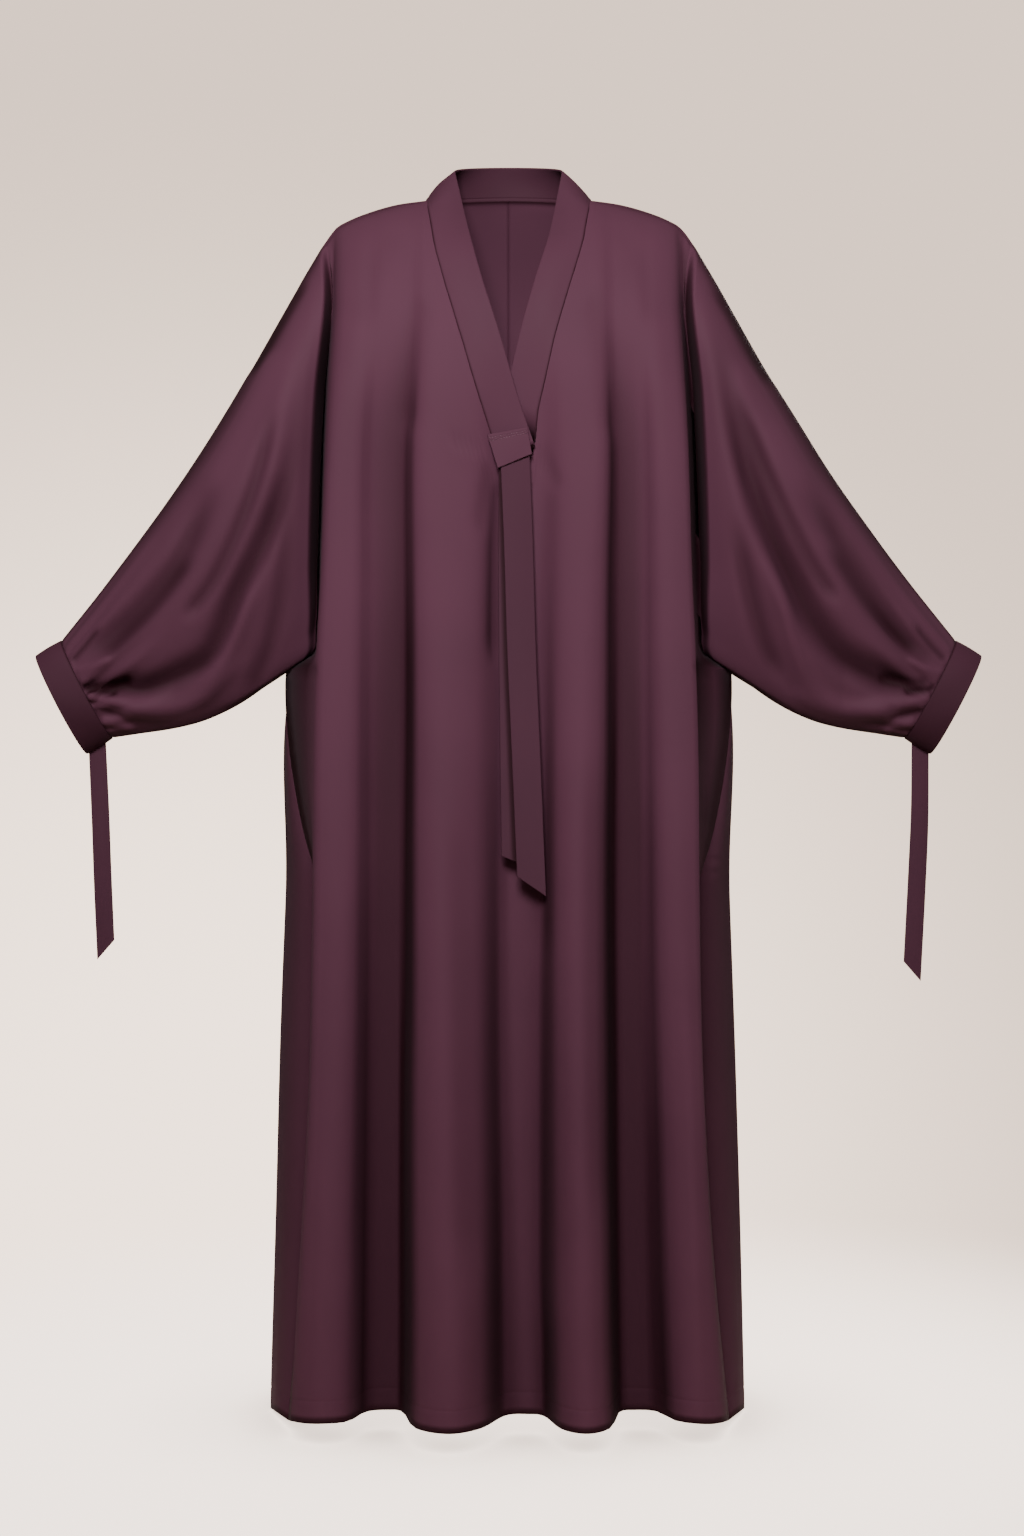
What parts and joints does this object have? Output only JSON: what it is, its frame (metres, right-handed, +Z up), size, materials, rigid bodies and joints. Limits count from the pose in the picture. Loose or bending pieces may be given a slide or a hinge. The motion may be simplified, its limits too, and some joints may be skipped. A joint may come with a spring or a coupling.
{
  "type": "abaya",
  "caption": "Pullover abaya with dolman sleeves gathered into cuffs, a folded neck band crossing at a V, and hanging ties, standing hollow as worn.",
  "frame": {"origin": "on the centre line, level with the high shoulder points, midway between front and back, where the wearer's shoulders hold the garment", "axes": "+Z up along the garment's length, +X to the viewer's right across the sleeves, -Y towards the front"},
  "size_m": [1.1004, 0.3192, 1.4613],
  "materials": {
    "plum_cloth": "matt satin crepe with a soft sheen, deep plum",
    "plum_band": "the same cloth folded double and topstitched",
    "plum_tie": "the same cloth as a narrow pressed tie"
  },
  "bodies": {
    "root": {"front_panel": "plum_cloth", "back_left": "plum_cloth", "back_right": "plum_cloth", "neck_band": "plum_band", "band_tab": "plum_band", "tie_front": "plum_tie", "tie_back": "plum_tie", "cuff_left": "plum_band", "cuff_right": "plum_band", "cuff_tie_left": "plum_tie", "cuff_tie_right": "plum_tie"}
  },
  "joints": []
}
